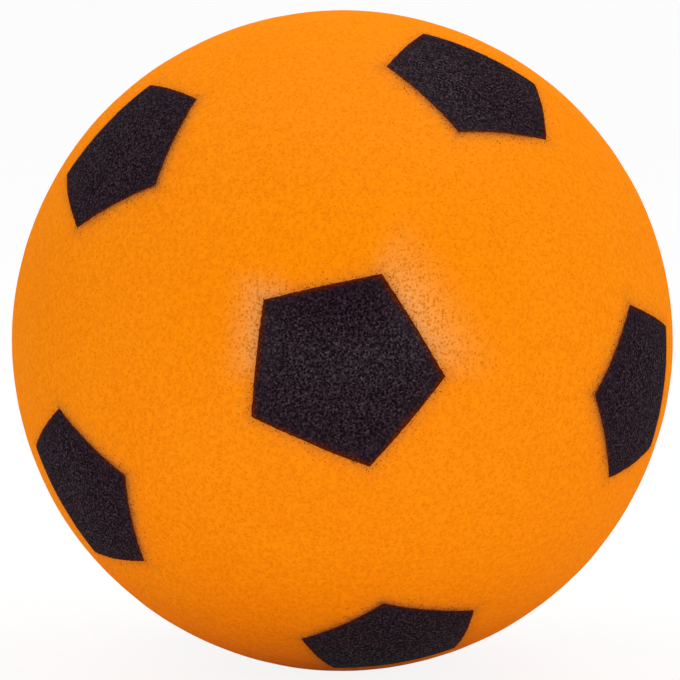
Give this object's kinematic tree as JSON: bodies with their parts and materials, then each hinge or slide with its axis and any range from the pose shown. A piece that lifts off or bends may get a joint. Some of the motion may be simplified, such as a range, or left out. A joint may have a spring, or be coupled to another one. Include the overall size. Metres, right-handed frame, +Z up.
{
  "type": "soft foam soccer ball",
  "caption": "Solid orange foam ball with black pentagons inked into its surface in the classic football layout, for soft indoor play.",
  "frame": {"origin": "the ball's centre", "axes": "+Z up from the flat that the ball rests on, -Y towards the front pentagon"},
  "size_m": [0.1998, 0.1999, 0.1992],
  "materials": {
    "foam": "matte",
    "ink": "matte"
  },
  "bodies": {
    "root": {"foam_ball": "foam", "pentagon_front_centre": "ink", "pentagon_front_ring_1": "ink", "pentagon_front_ring_2": "ink", "pentagon_front_ring_3": "ink", "pentagon_front_ring_4": "ink", "pentagon_front_ring_5": "ink", "pentagon_back_centre": "ink", "pentagon_back_ring_1": "ink", "pentagon_back_ring_2": "ink", "pentagon_back_ring_3": "ink", "pentagon_back_ring_4": "ink", "pentagon_back_ring_5": "ink"}
  },
  "joints": []
}
